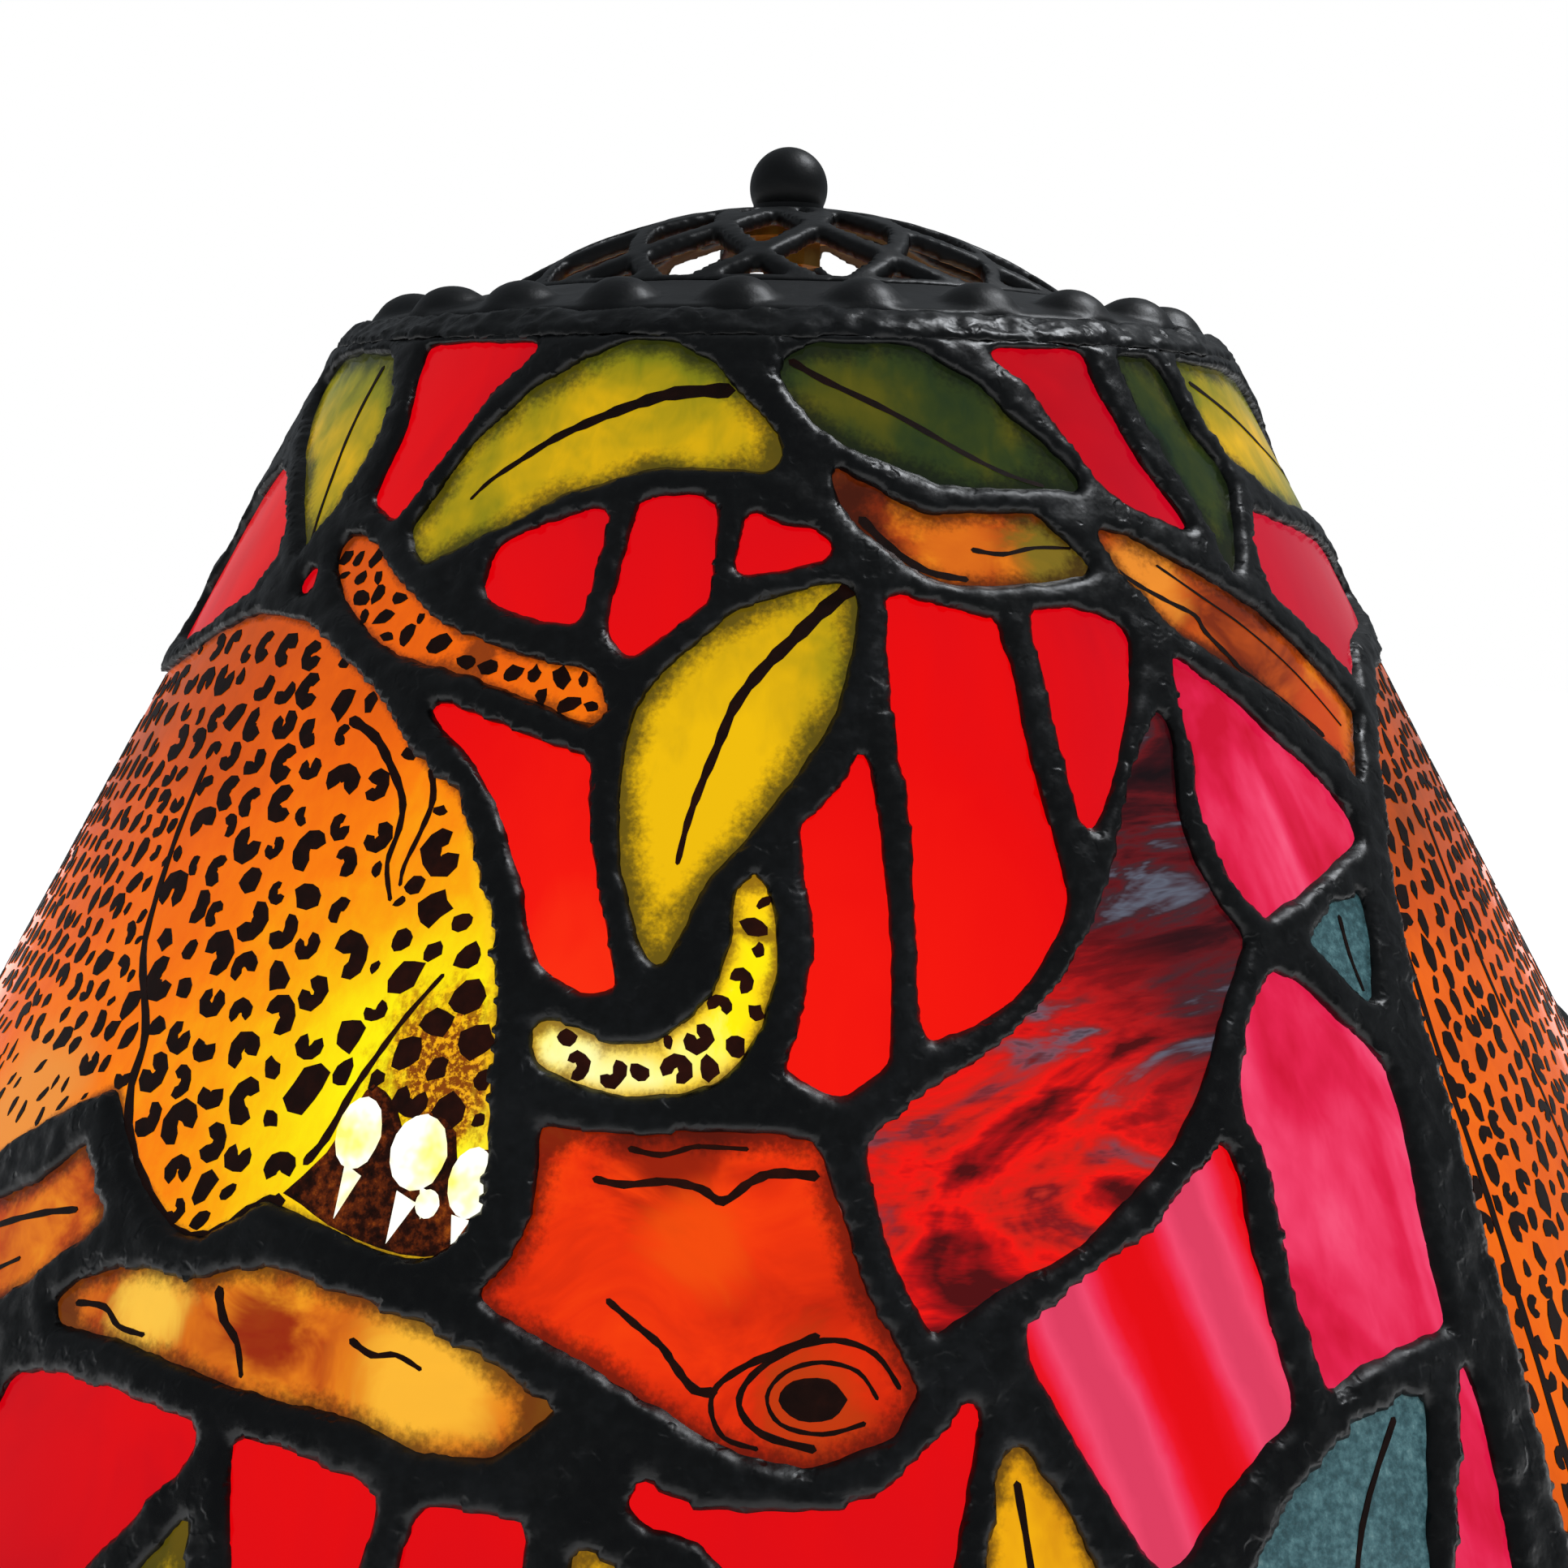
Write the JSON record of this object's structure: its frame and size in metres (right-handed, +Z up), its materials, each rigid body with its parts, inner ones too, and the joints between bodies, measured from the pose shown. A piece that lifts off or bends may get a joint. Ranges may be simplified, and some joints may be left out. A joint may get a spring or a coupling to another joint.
{
  "type": "table lamp",
  "caption": "Table lamp with a leaded glass cone shade, a pierced metal cap with a ball finial, two bulbs with pull chains and a cast metal base.",
  "frame": {"origin": "middle of the underside of the foot", "axes": "+Z up, the front of the shade's picture faces -Y"},
  "size_m": [0.4091, 0.4092, 0.5932],
  "materials": {
    "felt": "felt",
    "bronze": "antique bronze patina",
    "iron": "rough",
    "bushing": "matte",
    "steel": "plain",
    "brass": "aged",
    "socket_metal": "antique brass",
    "liner": "fibre",
    "porcelain": "satin",
    "wire": "insulated wire",
    "solder": "black patina over solder",
    "glass_red": "opalescent, lit",
    "glass_pink": "streaky opalescent, lit",
    "glass_striped": "striped opalescent, lit",
    "glass_streaky": "streaky dark opalescent",
    "glass_green_leaf": "painted opalescent, lit",
    "glass_dark_leaf": "dark opalescent",
    "glass_teal_leaf": "granular",
    "glass_yellow_leaf": "opalescent, lit",
    "glass_branch": "painted opalescent, lit",
    "glass_log": "painted opalescent, lit",
    "glass_leopard": "painted opalescent, lit",
    "glass_tail": "painted opalescent, lit",
    "glass_skirt_red": "opalescent, lit",
    "glass_skirt_leaf": "opalescent, lit",
    "glass_border_upper": "opalescent, lit",
    "glass_border_lower": "opalescent, lit",
    "cap_metal": "matte black bronze",
    "bulb_glass": "frosted, lit",
    "bulb_cap": "plain",
    "filament": "plain"
  },
  "bodies": {
    "stand": {"felt_pad": "felt", "foot_casting": "bronze", "base_weight": "iron", "cord_bushing": "bushing", "bottom_nut": "steel", "bottom_washer": "steel", "column_lower": "bronze", "column_knop": "bronze", "column_upper": "bronze", "column_neck": "bronze", "threaded_pipe": "brass", "cluster_body": "bronze", "rod_coupling": "brass", "upper_rod": "brass", "support_nut": "brass", "support_washer": "brass", "socket_arms": "brass", "socket_caps": "socket_metal", "socket_shells": "socket_metal", "socket_liners": "liner", "socket_cores": "porcelain", "chain_guides": "socket_metal", "inner_wire": "wire"},
    "shade": {"solder_web_a": "solder", "solder_web_b": "solder", "glass_red": "glass_red", "glass_pink": "glass_pink", "glass_striped": "glass_striped", "glass_streaky": "glass_streaky", "glass_green_leaf": "glass_green_leaf", "glass_dark_leaf": "glass_dark_leaf", "glass_teal_leaf": "glass_teal_leaf", "glass_yellow_leaf": "glass_yellow_leaf", "glass_branch": "glass_branch", "glass_log": "glass_log", "glass_leopard": "glass_leopard", "glass_tail": "glass_tail", "glass_skirt_red": "glass_skirt_red", "glass_skirt_leaf": "glass_skirt_leaf", "glass_border_upper": "glass_border_upper", "glass_border_lower": "glass_border_lower", "top_ring": "solder", "bottom_rim": "solder", "bead_flange": "cap_metal", "cap_lattice": "cap_metal"},
    "finial_seat": {"finial_washer": "cap_metal"},
    "finial": {"finial_ball": "cap_metal"},
    "bulb_front": {"bulb_globe_front": "bulb_glass"},
    "bulb_front_base": {"bulb_cap_front": "bulb_cap", "bulb_filament_front": "filament"},
    "bulb_back": {"bulb_globe_back": "bulb_glass"},
    "bulb_back_base": {"bulb_cap_back": "bulb_cap", "bulb_filament_back": "filament"},
    "chain_front": {"chain_front": "brass"},
    "chain_back": {"chain_back": "brass"}
  },
  "joints": [
    {"name": "shade_lift", "type": "slide", "parent": "stand", "child": "shade", "axis": [0, 0, 1], "range_m": [0, 0.25]},
    {"name": "finial_rise", "type": "slide", "parent": "shade", "child": "finial_seat", "axis": [0, 0, 1], "range_m": [0, 0.0056]},
    {"name": "finial_turn", "type": "hinge", "parent": "finial_seat", "child": "finial", "pos_m": [0, 0, 0.588], "axis": [0, 0, 1], "range_deg": [0, 2160]},
    {"name": "bulb_front_out", "type": "slide", "parent": "stand", "child": "bulb_front", "axis": [-0.0984, -0.7002, 0.7071], "range_m": [0, 0.0108]},
    {"name": "bulb_front_turn", "type": "hinge", "parent": "bulb_front", "child": "bulb_front_base", "pos_m": [0, 0, 0.388], "axis": [-0.0984, -0.7002, 0.7071], "range_deg": [0, 1080]},
    {"name": "bulb_back_out", "type": "slide", "parent": "stand", "child": "bulb_back", "axis": [0.0984, 0.7002, 0.7071], "range_m": [0, 0.0108]},
    {"name": "bulb_back_turn", "type": "hinge", "parent": "bulb_back", "child": "bulb_back_base", "pos_m": [0, 0, 0.388], "axis": [0.0984, 0.7002, 0.7071], "range_deg": [0, 1080]},
    {"name": "chain_front_pull", "type": "slide", "parent": "stand", "child": "chain_front", "axis": [0, 0, -1], "range_m": [0, 0.006], "stiffness_N_per_m": 60, "springref_m": -0.002},
    {"name": "chain_back_pull", "type": "slide", "parent": "stand", "child": "chain_back", "axis": [0, 0, -1], "range_m": [0, 0.006], "stiffness_N_per_m": 60, "springref_m": -0.002}
  ],
  "couplings": [
    {"joint": "finial_turn", "follows": "finial_rise", "rad_per_m": 6684.2},
    {"joint": "bulb_front_turn", "follows": "bulb_front_out", "rad_per_m": 1731.4},
    {"joint": "bulb_back_turn", "follows": "bulb_back_out", "rad_per_m": 1731.4}
  ]
}
